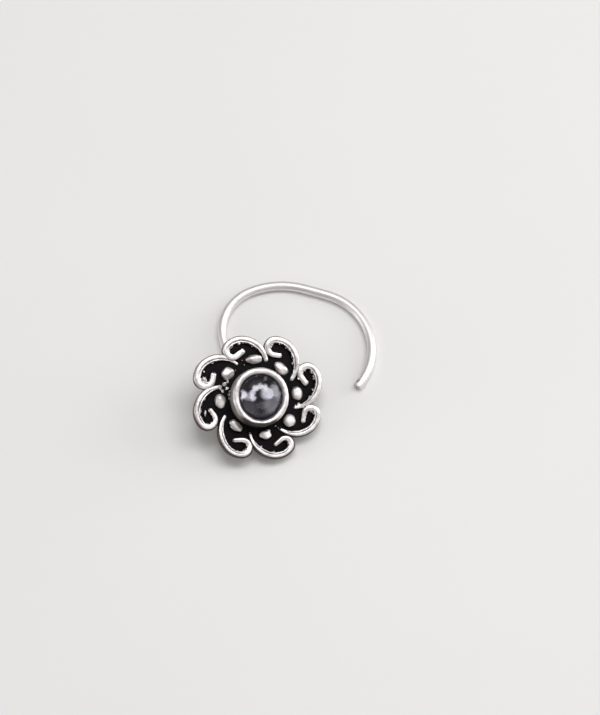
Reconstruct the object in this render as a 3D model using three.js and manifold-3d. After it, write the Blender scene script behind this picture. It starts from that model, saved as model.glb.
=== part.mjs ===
// Nose stud in oxidised silver, lying as it rests on a table: a round flower head of eight curled
// scrolls and eight granules round a clear cabochon in a bezel, and a round wire that hooks behind
// the nostril. The plate, scrolls, granules, bezel and wire are soldered, so they are one solid,
// and the cabochon is held in it with a small clearance. Millimetres, degrees, +Z up.
import * as THREE from 'three';
import { mergeVertices } from 'three/addons/utils/BufferGeometryUtils.js';
import Module from 'manifold-3d';

// Head: the plate and the ornament soldered on it
const petalReach = 4.95;            // head centre to the middle of a scroll's wire where it swings widest
const plateThickness = 0.5;
const scrollWidth = 0.57;
const scrollRelief = 0.42;          // crest of a scroll above the plate
const granuleDiameter = 1.03;
const granuleRelief = 0.5;

// Bezel and stone
const stoneDiameter = 3.7;
const domeHeight = 1.3;             // crown of the stone above its girdle
const stoneClearance = 0.04;
const bezelWall = 0.3;
const bezelHeight = 1.6;            // rim above the plate
const rimRound = 0.18;              // rounding of the rim's top
const lipHeight = 0.57;             // the part of the wall that is pressed in over the girdle

// Nose wire
const wireDiameter = 0.78;
const postBendRadius = 1.3;
const hookRadius = 5.02;            // the wide bend that ends the hook

// How the stud lies: its hook flat on the table, its head leaning on one petal
const headTilt = 22.6;
const leanBearing = -58;            // the way the head leans, from +X towards +Y

// Joints between soldered pieces
const solder = 0.12;                // how deep a soldered piece reaches into the plate

// Fineness of the facets: the angle that one facet may turn, and counts of sides and steps
const scrollFacetAngle = 20;
const wireFacetAngle = 11;
const wireSides = 12;
const bezelSides = 48;
const stoneSides = 32;
const granuleSides = 14;
const granuleRings = 8;
const tipFacets = 4;
const crestSteps = 3;
const rimSteps = 5;
const domeSteps = 8;

// A scroll starts near the bezel, swings out and round, and curls back in a hook. Its start and its
// radii are shares of the reach.
const scrollStartShare = 0.587;
const scrollSwing = [
  { radius: 0.410, turn: 83.5 },
  { radius: 0.307, turn: 49.6 },
];

// Each scroll is bent by hand: where its tail lies, its size, how far the tail leans from a radius,
// the radius and turn of its hook and the straight at its tip, lengths as shares of the reach.
const scrolls = [
  { bearing: 78, size: 0.98, lean: 21, hook: 0.110, curl: 170, tip: 0.120 },
  { bearing: 29, size: 1.01, lean: 23, hook: 0.120, curl: 171, tip: 0.110 },
  { bearing: -13, size: 1.02, lean: 17, hook: 0.120, curl: 174, tip: 0.120 },
  { bearing: -53, size: 0.97, lean: 11, hook: 0.105, curl: 171, tip: 0.120 },
  { bearing: -100, size: 1.00, lean: 20, hook: 0.105, curl: 171, tip: 0.105 },
  { bearing: -148, size: 0.99, lean: 21, hook: 0.120, curl: 181, tip: 0.110 },
  { bearing: 167, size: 1.00, lean: 15, hook: 0.125, curl: 176, tip: 0.095 },
  { bearing: 124, size: 1.01, lean: 15, hook: 0.125, curl: 171, tip: 0.090 },
];

// A granule lies in each scroll: its bearing past the scroll's tail, its distance from the centre as
// a share of the reach, and how long it is along the rim and how wide, as shares of its diameter.
const granules = [
  { past: 20, distance: 0.593, long: 1.26, wide: 0.74 },
  { past: 23, distance: 0.590, long: 1.30, wide: 0.72 },
  { past: 21, distance: 0.640, long: 1.12, wide: 0.82 },
  { past: 19, distance: 0.633, long: 1.02, wide: 0.96 },
  { past: 24, distance: 0.607, long: 1.00, wide: 0.84 },
  { past: 23, distance: 0.590, long: 1.28, wide: 0.74 },
  { past: 22, distance: 0.607, long: 1.06, wide: 0.86 },
  { past: 21, distance: 0.613, long: 1.10, wide: 0.92 },
];

// The hook's bends as they follow the bend of the post, all to the right, radii as shares of the hook's.
const hookBends = [
  { radius: 2.83, turn: 19.9 },     // from under the head to its edge
  { radius: 0.73, turn: 78.0 },     // shoulder
  { radius: 1.23, turn: 39.0 },     // crown
  { radius: 6.70, turn: 3.8 },      // the easy stretch before the wide bend
  { radius: 1.00, turn: 111.0 },    // wide bend and cut end
];

// A scroll's wire is thin at the tail and a little thinner at the tip. Girths are shares of its full
// section, and a taper's run is a share of the wire's length. The end is rounded off to `endGirth`.
const scrollTaper = { tailGirth: 0.45, tailRun: 0.3, tipGirth: 0.82, tipRun: 0.35, endGirth: 0.4 };
const shoulderShare = 0.35;         // upright part of a scroll's side, as a share of its relief
const plateShare = 0.84;            // how far the plate reaches under the outer half of a scroll's wire
const coreShare = 0.66;             // the round middle of the plate, as a share of the reach

const FORWARD = new THREE.Vector3(0, 0, 1);
const UP = new THREE.Vector3(0, 1, 0);
const SIDE = new THREE.Vector3(1, 0, 0);
const rad = THREE.MathUtils.degToRad;

const wasm = await Module();
wasm.setup();

// A closed mesh as a solid that can be joined to others
function solid(geometry) {
  const bare = geometry.index ? geometry.toNonIndexed() : geometry.clone();
  bare.deleteAttribute('normal');
  bare.deleteAttribute('uv');
  const closed = mergeVertices(bare, 1e-5);
  return new wasm.Manifold(new wasm.Mesh({
    numProp: 3,
    vertProperties: closed.attributes.position.array,
    triVerts: new Uint32Array(closed.index.array),
  }));
}

function geometryOf(body) {
  const { vertProperties, triVerts } = body.getMesh();
  const geometry = new THREE.BufferGeometry();
  geometry.setAttribute('position', new THREE.BufferAttribute(vertProperties, 3));
  geometry.setIndex(new THREE.BufferAttribute(triVerts, 1));
  return geometry;
}

// A frame on a path has X to its left, Y up and Z along the path. A bend turns it about `axis`.
function bendStep(axis, radius, turn) {
  const centre = axis.clone().cross(FORWARD).multiplyScalar(radius * Math.sign(turn));
  return new THREE.Matrix4().makeTranslation(centre)
    .multiply(new THREE.Matrix4().makeRotationAxis(axis, turn))
    .multiply(new THREE.Matrix4().makeTranslation(centre.negate()));
}

// Walks a path of straights and bends, and notes the frame and the distance walked at each facet
function walk(start, legs, facetTurn) {
  const stations = [{ frame: start.clone(), walked: 0 }];
  for (const { straight, facets = 1, axis, radius, turn } of legs) {
    const steps = straight ? facets : Math.ceil(Math.abs(turn) / facetTurn);
    const stepLength = (straight ?? radius * rad(Math.abs(turn))) / steps;
    const step = straight
      ? new THREE.Matrix4().makeTranslation(0, 0, stepLength)
      : bendStep(axis, radius, rad(turn) / steps);
    for (let i = 0; i < steps; i += 1) {
      const last = stations.at(-1);
      stations.push({ frame: last.frame.clone().multiply(step), walked: last.walked + stepLength });
    }
  }
  return stations;
}

// Bends a straight bar of the given section along a path, with the girth that each station asks for
function bar(section, stations, girth = () => 1) {
  const steps = stations.length - 1;
  const straightBar = new THREE.ExtrudeGeometry(section, {
    depth: steps, steps, bevelEnabled: false, curveSegments: crestSteps,
  });
  const spots = straightBar.attributes.position;
  const spot = new THREE.Vector3();
  for (let i = 0; i < spots.count; i += 1) {
    spot.fromBufferAttribute(spots, i);
    const station = stations[Math.round(spot.z)];
    const size = girth(station.walked);
    spot.set(spot.x * size, spot.y * size, 0).applyMatrix4(station.frame);
    spots.setXYZ(i, spot.x, spot.y, spot.z);
  }
  return straightBar;
}

// The frame that stands on the plate at a bearing, facing `heading`
function plateFrame(distance, bearing, heading) {
  return new THREE.Matrix4().makeRotationZ(rad(bearing))
    .multiply(new THREE.Matrix4().makeTranslation(distance, 0, plateThickness))
    .multiply(new THREE.Matrix4().makeRotationZ(rad(heading)))
    .multiply(new THREE.Matrix4().makeBasis(new THREE.Vector3(0, 1, 0), FORWARD, SIDE));
}

function scrollPath({ bearing, size, lean, hook, curl, tip }) {
  const reach = petalReach * size;
  const swing = scrollSwing.map(({ radius, turn }) => ({ axis: UP, radius: radius * reach, turn }));
  const legs = [
    ...swing,
    { axis: UP, radius: hook * petalReach, turn: curl },
    { straight: tip * petalReach, facets: tipFacets },
  ];
  return walk(plateFrame(scrollStartShare * reach, bearing, lean), legs, scrollFacetAngle);
}

// Half-round wire with a soft crest, its foot soldered into the plate
function scrollSection() {
  const half = scrollWidth / 2;
  const shoulder = scrollRelief * shoulderShare;
  const section = new THREE.Shape();
  section.moveTo(-half, -solder);
  section.lineTo(half, -solder);
  section.lineTo(half, shoulder);
  section.absellipse(0, shoulder, half, scrollRelief - shoulder, 0, Math.PI);
  return section;
}

function scrollGirth(stations) {
  const { lerp, smoothstep } = THREE.MathUtils;
  const { tailGirth, tailRun, tipGirth, tipRun, endGirth } = scrollTaper;
  const whole = stations.at(-1).walked;
  const tipRound = scrollWidth / 2;
  return (walked) => {
    const share = walked / whole;
    const tail = lerp(tailGirth, 1, smoothstep(share, 0, tailRun));
    const tip = lerp(1, tipGirth, smoothstep(share, 1 - tipRun, 1));
    const intoTip = Math.max(0, 1 - (whole - walked) / tipRound);
    return tail * tip * Math.sqrt(1 - (1 - endGirth ** 2) * intoTip ** 2);
  };
}

// The plate under one petal: out along the scroll's outer edge, as far round as the hook swings
function petalPlate(stations, girth) {
  const edge = stations.map(({ frame, walked }) => {
    const trim = -plateShare * girth(walked) * scrollWidth / 2;
    return new THREE.Vector3(trim, 0, 0).applyMatrix4(frame);
  });
  const tail = edge[0];
  const past = ({ x, y }) => Math.atan2(tail.x * y - tail.y * x, tail.x * x + tail.y * y);
  const widest = edge.reduce((best, spot, i) => (past(spot) > past(edge[best]) ? i : best), 0);
  const outline = new THREE.Shape([new THREE.Vector2(0, 0), ...edge.slice(0, widest + 1)
    .map(({ x, y }) => new THREE.Vector2(x, y))]);
  return new THREE.ExtrudeGeometry(outline, { depth: plateThickness, bevelEnabled: false });
}

function plateCore() {
  const radius = coreShare * petalReach;
  return new THREE.CylinderGeometry(radius, radius, plateThickness, bezelSides)
    .rotateX(Math.PI / 2)
    .translate(0, 0, plateThickness / 2);
}

function granule({ past, distance, long, wide }, petal) {
  const grain = granuleDiameter / 2;
  const place = new THREE.Matrix4().makeRotationZ(rad(petal.bearing + past))
    .multiply(new THREE.Matrix4().makeTranslation(distance * petalReach, 0, plateThickness));
  return new THREE.SphereGeometry(1, granuleSides, granuleRings)
    .rotateX(Math.PI / 2)
    .scale(grain * wide, grain * long, granuleRelief)
    .applyMatrix4(place);
}

// Stone and bezel share these heights above the plate and the dome that both follow
const stoneRadius = stoneDiameter / 2;
const boreRadius = stoneRadius + stoneClearance;
const bezelRadius = boreRadius + bezelWall;
const lipEdge = bezelHeight - rimRound;
const girdle = lipEdge - lipHeight;
const domeRadiusAt = (height) => stoneRadius * Math.sqrt(1 - ((height - girdle) / domeHeight) ** 2);

function bezel() {
  const mouth = domeRadiusAt(lipEdge) + stoneClearance;
  const wall = (bezelRadius - mouth) / 2;
  const profile = new THREE.Shape();
  profile.moveTo(bezelRadius, -solder);
  profile.lineTo(bezelRadius, lipEdge);
  profile.absellipse(mouth + wall, lipEdge, wall, rimRound, 0, Math.PI);
  profile.lineTo(boreRadius, girdle);
  profile.lineTo(boreRadius, -solder);
  profile.closePath();
  return new THREE.LatheGeometry(profile.getPoints(rimSteps), bezelSides)
    .rotateX(Math.PI / 2)
    .translate(0, 0, plateThickness);
}

function stone() {
  const profile = new THREE.Path();
  profile.moveTo(0, stoneClearance);
  profile.lineTo(stoneRadius, stoneClearance);
  profile.lineTo(stoneRadius, girdle);
  profile.absellipse(0, girdle, stoneRadius, domeHeight, 0, Math.PI / 2);
  return new THREE.LatheGeometry(profile.getPoints(domeSteps), stoneSides)
    .rotateX(Math.PI / 2)
    .translate(0, 0, plateThickness);
}

// The lean of the head about the level line through the middle of its back
const headLean = new THREE.Matrix4().makeRotationAxis(
  new THREE.Vector3(-Math.sin(rad(leanBearing)), Math.cos(rad(leanBearing)), 0),
  rad(headTilt),
);

// The post leaves the back square, turns to lie along the table and runs out under the raised edge
function noseWire(backHeight) {
  const postBend = 90 - headTilt;
  const drop = (backHeight - wireDiameter / 2) / Math.cos(rad(headTilt));
  const post = drop - postBendRadius * Math.tan(rad(postBend / 2));
  const start = new THREE.Matrix4().makeRotationZ(rad(leanBearing))
    .multiply(new THREE.Matrix4().makeTranslation(0, 0, solder))
    .multiply(new THREE.Matrix4().makeBasis(
      new THREE.Vector3(0, -1, 0), new THREE.Vector3(-1, 0, 0), new THREE.Vector3(0, 0, -1),
    ));
  const legs = [
    { straight: solder + post },
    { axis: SIDE, radius: postBendRadius, turn: -postBend },
    ...hookBends.map(({ radius, turn }) => ({ axis: UP, radius: radius * hookRadius, turn: -turn })),
  ];
  const section = new THREE.Shape();
  for (let i = 0; i < wireSides; i += 1) {
    const around = 2 * Math.PI * i / wireSides;
    const [x, y] = [Math.cos(around), Math.sin(around)].map((part) => part * wireDiameter / 2);
    if (i === 0) section.moveTo(x, y);
    else section.lineTo(x, y);
  }
  return bar(section, walk(start, legs, wireFacetAngle));
}

// Head first: how far it reaches down when it leans sets its height and the length of the post
const scrollWire = scrollSection();
const headPieces = [plateCore(), bezel()];
scrolls.forEach((petal, i) => {
  const stations = scrollPath(petal);
  const girth = scrollGirth(stations);
  headPieces.push(petalPlate(stations, girth));
  headPieces.push(bar(scrollWire, stations, girth));
  headPieces.push(granule(granules[i], petal));
});
const head = headPieces.map(solid).reduce((joined, piece) => joined.add(piece));
const leaningHead = geometryOf(head).applyMatrix4(headLean);
leaningHead.computeBoundingBox();
const backHeight = -leaningHead.boundingBox.min.z;

const silver = new THREE.Mesh(
  geometryOf(head.add(solid(noseWire(backHeight)))),
  new THREE.MeshStandardMaterial({ color: 0xd6d4d0, roughness: 0.25, metalness: 1 }),
);
silver.name = 'silver_stud';

const cabochon = new THREE.Mesh(
  stone(),
  new THREE.MeshStandardMaterial({ color: 0xb9bcc4, roughness: 0.05, metalness: 0 }),
);
cabochon.name = 'cabochon';

const stud = new THREE.Group();
stud.add(silver, cabochon);
stud.applyMatrix4(headLean);
stud.position.z = backHeight;

// The origin is the middle of the stud's bottom
const noseStud = new THREE.Group();
noseStud.add(stud);
noseStud.updateMatrixWorld(true);
const box = new THREE.Box3().setFromObject(noseStud, true);
const middle = box.getCenter(new THREE.Vector3());
noseStud.position.set(-middle.x, -middle.y, -box.min.z);

export default noseStud;
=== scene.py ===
"""Looks of a nose stud in oxidised silver: a flower head of curled scrolls and granules round a clear
cabochon, and a round wire that hooks behind it. The stud lies on a pale surface. Metres, +Z up."""

import math
import random

import bmesh
import bpy
import numpy as np
from mathutils import Matrix, Vector, noise


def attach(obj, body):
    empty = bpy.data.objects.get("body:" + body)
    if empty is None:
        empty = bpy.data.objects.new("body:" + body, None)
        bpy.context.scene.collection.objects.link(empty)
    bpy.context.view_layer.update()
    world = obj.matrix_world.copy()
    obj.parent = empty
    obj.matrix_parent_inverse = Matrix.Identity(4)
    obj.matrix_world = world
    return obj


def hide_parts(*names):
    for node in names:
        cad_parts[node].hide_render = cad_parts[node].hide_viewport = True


MM = 0.001

# Head: the plate and the ornament soldered on it
PETAL_REACH = 4.90 * MM
PLATE_THICKNESS = 0.5 * MM
SCROLL_WIDTH = 0.57 * MM
SCROLL_RELIEF = 0.42 * MM
SCROLL_SHOULDER = 0.15 * MM  # height above the plate up to which a scroll's side is upright
SOLDER_DEPTH = 0.12 * MM
GRANULE_DIAMETER = 1.03 * MM
GRANULE_RELIEF = 0.5 * MM

# Bezel and stone
STONE_DIAMETER = 3.7 * MM
DOME_HEIGHT = 1.3 * MM
STONE_CLEARANCE = 0.04 * MM
BEZEL_WALL = 0.3 * MM
BEZEL_HEIGHT = 1.6 * MM
RIM_ROUND = 0.18 * MM
LIP_HEIGHT = 0.57 * MM
STONE_RADIUS = STONE_DIAMETER / 2
STONE_BEVEL = 0.03  # share of the radius, at the foot of the stone
BORE_RADIUS = STONE_RADIUS + STONE_CLEARANCE
BEZEL_RADIUS = BORE_RADIUS + BEZEL_WALL
LIP_EDGE = BEZEL_HEIGHT - RIM_ROUND
GIRDLE = LIP_EDGE - LIP_HEIGHT

# Nose wire
WIRE_DIAMETER = 0.78 * MM
WIRE_TRIM = 0.024 * MM  # off the radius, so that the uneven surface keeps within the diameter
POST_BEND_RADIUS = 1.3 * MM
HOOK_RADIUS = 5.02 * MM

# The head leans on one petal while the hook lies flat
HEAD_TILT = math.radians(22.6)
LEAN_BEARING = math.radians(-58)

# Scrolls: radii and lengths are shares of the reach, angles are in degrees
SCROLL_START = 0.587
SCROLL_SWING = [
    {"radius": 0.410, "turn": 83.5},
    {"radius": 0.307, "turn": 49.6},
]
SCROLLS = [
    {"bearing": 78, "size": 0.98, "lean": 21, "hook": 0.110, "curl": 170, "tip": 0.165,
     "tail_girth": 0.62, "tip_girth": 0.85},
    {"bearing": 29, "size": 1.01, "lean": 23, "hook": 0.120, "curl": 171, "tip": 0.135,
     "tail_girth": 0.60, "tip_girth": 0.72},
    {"bearing": -13, "size": 1.02, "lean": 17, "hook": 0.120, "curl": 174, "tip": 0.150,
     "tail_girth": 0.45, "tip_girth": 0.85},
    {"bearing": -53, "size": 0.97, "lean": 11, "hook": 0.105, "curl": 171, "tip": 0.170,
     "tail_girth": 0.42, "tip_girth": 0.68},
    {"bearing": -100, "size": 1.00, "lean": 20, "hook": 0.105, "curl": 171, "tip": 0.150,
     "tail_girth": 0.42, "tip_girth": 0.66},
    {"bearing": -148, "size": 0.99, "lean": 21, "hook": 0.120, "curl": 181, "tip": 0.150,
     "tail_girth": 0.52, "tip_girth": 0.70},
    {"bearing": 167, "size": 1.00, "lean": 15, "hook": 0.125, "curl": 176, "tip": 0.130,
     "tail_girth": 0.50, "tip_girth": 0.68},
    {"bearing": 124, "size": 1.01, "lean": 15, "hook": 0.125, "curl": 171, "tip": 0.130,
     "tail_girth": 0.40, "tip_girth": 0.85},
]
# Shares of a scroll's length over which its ends taper, and how far the ends are rounded off
TAIL_RUN = 0.3
TIP_RUN = 0.35
END_ROUNDING = 0.96
# Section of the scroll wire: its crest, its foot and the groove, in shares of the half width
CREST_FULLNESS = 0.55
FOOT_SQUARENESS = 0.3
GROOVE_PLACE = 0.40
GROOVE_WIDTH = 0.15
GROOVE_DEPTH = 0.08 * MM
# Shares of the length between which the groove sets in and fades, and its strength in the hook
GROOVE_SETS_IN = (0.06, 0.16)
GROOVE_FADES = (0.55, 0.72)
GROOVE_IN_HOOK = 0.5
SCROLL_UNEVENNESS = 0.03 * MM
SCROLL_DENTS = 0.45 * MM

# Plate: its edge under a scroll as a share of the wire's half width, its least reach, its rounded edge
PLATE_UNDER_SCROLL = 0.84
CORE_REACH = 0.66
EDGE_ROUND = 0.12 * MM
PLATE_RINGS = (0.45, 0.8)

# The bezel is pressed out of round on its low side, and its rim wanders: waves round the stone, phase, share
CUP_SAG = 0.18 * MM
MOUTH_SAG = 0.20 * MM
SAG_BEARING = math.radians(-80)
RIM_SWAY = 0.035 * MM
SWAY_WAVES = ((3, 0.4, 0.5), (5, 2.1, 0.3), (8, 4.0, 0.22), (13, 1.0, 0.14))

# Fineness of the surfaces
SCROLL_SIDES = 40
SCROLL_FACET_ANGLE = 1.6
TIP_FACETS = 16
WIRE_SIDES = 48
WIRE_FACET_ANGLE = 0.8
PLATE_SIDES = 2880
EDGE_STEPS = 8
LATHE_SIDES = 256
RIM_STEPS = 24
DOME_STEPS = 48
WALL_STEPS = 6
SEAT_STEPS = 4
POST_FACETS = 6
LUMP_DETAIL = 4
DROP_DETAIL = 3
TOOTH_DETAIL = 2
MERGE_DISTANCE = 0.0001 * MM

# Lumps of metal: fullness upwards and in plan (1 is a ball), and how deep they sink into the plate
LUMP_FULLNESS = 0.78
LUMP_PLAN = 0.90
LUMP_SINK = 0.2 * MM
LUMP_ROUGHNESS = 0.5

# Granules: bearing past the scroll's tail, distance as a share of the reach, shares of the diameter
GRANULES = [
    {"past": 20, "distance": 0.603, "long": 1.26, "wide": 0.70, "bend": 0.40, "rough": 0.16},
    {"past": 23, "distance": 0.590, "long": 1.26, "wide": 0.82, "bend": 0.36, "rough": 0.20},
    {"past": 21, "distance": 0.640, "long": 1.12, "wide": 0.82, "bend": 0.10, "rough": 0.10},
    {"past": 19, "distance": 0.633, "long": 1.02, "wide": 0.96, "bend": 0.00, "rough": 0.12},
    {"past": 24, "distance": 0.607, "long": 1.00, "wide": 0.84, "bend": 0.10, "rough": 0.26},
    {"past": 23, "distance": 0.590, "long": 1.28, "wide": 0.74, "bend": 0.14, "rough": 0.22},
    {"past": 22, "distance": 0.607, "long": 1.06, "wide": 0.86, "bend": 0.00, "rough": 0.16},
    {"past": 21, "distance": 0.612, "long": 0.98, "wide": 0.90, "bend": 0.05, "rough": 0.22},
]

# Lumps of solder and burrs: bearing, distance as a share of the reach, length, width and height in
# millimetres, and the turn of the length in degrees
SOLDER_LUMPS = [
    {"bearing": 117, "distance": 0.722, "long": 0.26, "wide": 0.22, "high": 0.27, "turn": 100},
    {"bearing": 158, "distance": 0.948, "long": 0.18, "wide": 0.16, "high": 0.27, "turn": 0},
    {"bearing": 165, "distance": 0.890, "long": 0.55, "wide": 0.34, "high": 0.34, "turn": 105},
    {"bearing": 168, "distance": 0.860, "long": 0.5, "wide": 0.36, "high": 0.36, "turn": 150},
    {"bearing": 171, "distance": 0.825, "long": 0.44, "wide": 0.34, "high": 0.34, "turn": 20},
    {"bearing": 156, "distance": 0.539, "long": 0.30, "wide": 0.22, "high": 0.27, "turn": 95},
    {"bearing": 162, "distance": 0.564, "long": 0.36, "wide": 0.32, "high": 0.32, "turn": 20},
    {"bearing": 168, "distance": 0.515, "long": 0.34, "wide": 0.28, "high": 0.28, "turn": 60},
    {"bearing": 169, "distance": 0.626, "long": 0.44, "wide": 0.34, "high": 0.34, "turn": -20},
    {"bearing": 174, "distance": 0.568, "long": 0.3, "wide": 0.26, "high": 0.27, "turn": 40},
    {"bearing": -159, "distance": 0.892, "long": 0.72, "wide": 0.2, "high": 0.27, "turn": 96},
    {"bearing": -145, "distance": 0.965, "long": 0.30, "wide": 0.24, "high": 0.27, "turn": 40},
    {"bearing": 27, "distance": 0.739, "long": 0.4, "wide": 0.3, "high": 0.30, "turn": 15},
    {"bearing": -10, "distance": 0.617, "long": 0.22, "wide": 0.14, "high": 0.27, "turn": 70},
    {"bearing": -7, "distance": 0.665, "long": 0.32, "wide": 0.26, "high": 0.27, "turn": 20},
    {"bearing": -8, "distance": 0.735, "long": 0.44, "wide": 0.32, "high": 0.32, "turn": 25},
    {"bearing": -98, "distance": 0.736, "long": 0.34, "wide": 0.28, "high": 0.28, "turn": 80},
    {"bearing": -96, "distance": 0.800, "long": 0.36, "wide": 0.30, "high": 0.30, "turn": 60},
    {"bearing": -100, "distance": 0.583, "long": 0.26, "wide": 0.24, "high": 0.27, "turn": 0},
    {"bearing": -51, "distance": 0.605, "long": 0.3, "wide": 0.24, "high": 0.27, "turn": -30},
    {"bearing": -56, "distance": 0.541, "long": 0.22, "wide": 0.13, "high": 0.27, "turn": 30},
    {"bearing": 173, "distance": 0.458, "long": 0.26, "wide": 0.16, "high": 0.50, "turn": 80},
    {"bearing": 179, "distance": 0.466, "long": 0.22, "wide": 0.18, "high": 0.57, "turn": 100},
    {"bearing": -174, "distance": 0.462, "long": 0.24, "wide": 0.14, "high": 0.41, "turn": 92},
    {"bearing": 116, "distance": 0.631, "long": 0.12, "wide": 0.1, "high": 0.26, "turn": 0},
    {"bearing": 115, "distance": 0.548, "long": 0.16, "wide": 0.08, "high": 0.27, "turn": 50},
    {"bearing": 133, "distance": 0.547, "long": 0.12, "wide": 0.11, "high": 0.26, "turn": 0},
]
# Small teeth of solder along the inner edge of each scroll: shares of its length, half width and relief
TEETH_PER_SCROLL = 14
TEETH_SEED = 11
TOOTH_SIZE = 0.20 * MM
TOOTH_SPREAD = (0.3, 0.75)
TEETH_RUN = (0.12, 0.72)
TEETH_OFFSET = (0.72, 1.0)
TEETH_HEIGHT = (0.55, 0.9)

# The painted reflection of the lamps, a milky cloud on the cup under the stone, in millimetres from its
# middle: an arch of even puffs, bearings in degrees from the right, and seven patches round it. Tones run
# from 0 to 1. Past the reach the cup is dark.
PAINTED_REFLECTION_MIDDLE = (0.14, 0.07)
PAINTED_REFLECTION_REACH = 1.05 * MM
PAINTED_REFLECTION_EDGE = 0.09 * MM
REFLECTION_ARCH_MIDDLE = (0.2, 0.1)
REFLECTION_ARCH_RADIUS = 0.5
REFLECTION_ARCH_BEARINGS = (200, 167, 133, 100, 67, 33, 0)
REFLECTION_ARCH_PUFF = {"radius": 0.15, "tone": 0.75}
PAINTED_REFLECTION_PATCHES = [
    {"across": 0.5, "along": 0.2, "radius": 0.3, "tone": 0.7},  # under the arch's right half
    {"across": -0.5, "along": 0.0, "radius": 0.2, "tone": 0.4},  # beside the arch's left foot
    {"across": -0.8, "along": 0.1, "radius": 0.2, "tone": 1.0},  # bright spot at the left rim
    {"across": 1.1, "along": 0.4, "radius": 0.4, "tone": 0.4},  # haze at the right rim
    {"across": 0.9, "along": -0.4, "radius": 0.5, "tone": 0.2},  # haze low on the right
    {"across": -0.5, "along": -0.7, "radius": 0.5, "tone": 0.05},  # haze low on the left
    {"across": 0.4, "along": 1.0, "radius": 0.1, "tone": 0.3},  # glint over the arch
]

# Bends of the hook, all to the right, radii as shares of the hook's
HOOK_BENDS = [
    {"radius": 2.83, "turn": 19.9},
    {"radius": 0.73, "turn": 78.0},
    {"radius": 1.23, "turn": 39.0},
    {"radius": 6.70, "turn": 3.8},
    {"radius": 1.00, "turn": 111.0},
]
WIRE_UNEVENNESS = 0.02 * MM
WIRE_DENTS = 1.6 * MM
WIRE_NICK = Vector((1.13 * MM, 7.15 * MM, 0.16 * MM))

# Camera: a long lens above the stud, 65 degrees up
CAMERA_ELEVATION = math.radians(65)
CAMERA_DISTANCE = 243.9 * MM
CAMERA_LENS = 155.5
CAMERA_TARGET = Vector((1.160 * MM, 1.370 * MM, 0))
CAMERA_NEAR = 0.01

# Room: the floor's width and tones, the world's tone, and soft lights: towards, distance, size, power
FLOOR_SIZE = 6.0
FLOOR_TONES = ((0.80, 0.795, 0.79, 1), (0.83, 0.825, 0.82, 1))
WORLD_TONE = (0.30, 0.295, 0.29, 1)
SOFTBOXES = {
    "overhead": ((0.14, 0.30, 0.94), 0.42, (0.54, 0.44), 0.30),
    "upper_left": ((-0.01, 0.18, 0.98), 0.36, (0.14, 0.15), 0.24),
    "upper_middle": ((0.22, 0.27, 0.94), 0.36, (0.10, 0.10), 0.075),
    "upper_right": ((0.46, 0.18, 0.87), 0.36, (0.15, 0.15), 0.20),
    "front_right": ((0.50, -0.15, 0.85), 0.38, (0.16, 0.20), 0.035),
    "front": ((0.40, -0.72, 0.56), 0.40, (0.34, 0.22), 0.15),
    "left": ((-0.92, -0.20, 0.28), 0.40, (0.15, 0.26), 0.28),
    "right": ((0.93, 0.25, 0.28), 0.40, (0.26, 0.34), 0.60),
}

# Tones of the metal, the cup and the stone
WHITE_TONES = ((0.98, 0.94, 0.935, 1), (0.70, 0.665, 0.66, 1))
BROWN_BLACK = (0.018, 0.014, 0.013, 1)
# Painted shade: the dim brownish grey of the scrolls' outer flank
FLANK_PAINTED_SHADE_TONE = (0.15, 0.12, 0.105, 1)
# The bezel wall's grey, and a dark copy of it that is painted shade on the low side
WALL_AND_PAINTED_SHADE_TONES = ((0.36, 0.33, 0.30, 1), (0.035, 0.03, 0.028, 1))
PLATE_TONES = ((0.010, 0.009, 0.010, 1), (0.66, 0.58, 0.51, 1))
WIRE_TONES = ((0.93, 0.90, 0.90, 1), (0.78, 0.745, 0.75, 1))
CRACK_TONE = (0.10, 0.08, 0.08, 1)
CUP_TONES = ((0.004, 0.003, 0.008, 1), (0.020, 0.015, 0.036, 1))
# Painted reflection of the lamps in the cup, and its painted glow
PAINTED_REFLECTION_TONE = (0.93, 0.91, 1.0, 1)
PAINTED_GLOW_TONE = (0.30, 0.29, 0.33, 1)
STONE_TONE = (0.97, 0.965, 1.0, 1)
STONE_BENDING = 1.54

X, Y, Z = Vector((1, 0, 0)), Vector((0, 1, 0)), Vector((0, 0, 1))

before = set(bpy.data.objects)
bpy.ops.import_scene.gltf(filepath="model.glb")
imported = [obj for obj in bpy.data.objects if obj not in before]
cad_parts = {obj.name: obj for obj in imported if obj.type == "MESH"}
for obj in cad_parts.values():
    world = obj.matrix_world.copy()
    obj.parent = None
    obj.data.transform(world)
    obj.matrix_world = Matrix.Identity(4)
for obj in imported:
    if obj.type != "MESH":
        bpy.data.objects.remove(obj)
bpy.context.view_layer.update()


class Link:
    """A node's output. Sums, products and powers of links and numbers add Math nodes."""

    def __init__(self, nodes, socket):
        self.nodes, self.socket = nodes, socket

    def math(self, operation, *values):
        return self.nodes.add("ShaderNodeMath", {"operation": operation}, values)

    def other(self, output):
        return Link(self.nodes, self.socket.node.outputs[output])

    def __add__(self, other):
        return self.math("ADD", self, other)

    def __sub__(self, other):
        return self.math("SUBTRACT", self, other)

    def __rsub__(self, other):
        return self.math("SUBTRACT", other, self)

    def __mul__(self, other):
        return self.math("MULTIPLY", self, other)

    def __truediv__(self, other):
        return self.math("DIVIDE", self, other)

    def __rtruediv__(self, other):
        return self.math("DIVIDE", other, self)

    def __pow__(self, other):
        return self.math("POWER", self, other)

    def __abs__(self):
        return self.math("ABSOLUTE", self)

    __radd__, __rmul__ = __add__, __mul__


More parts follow.
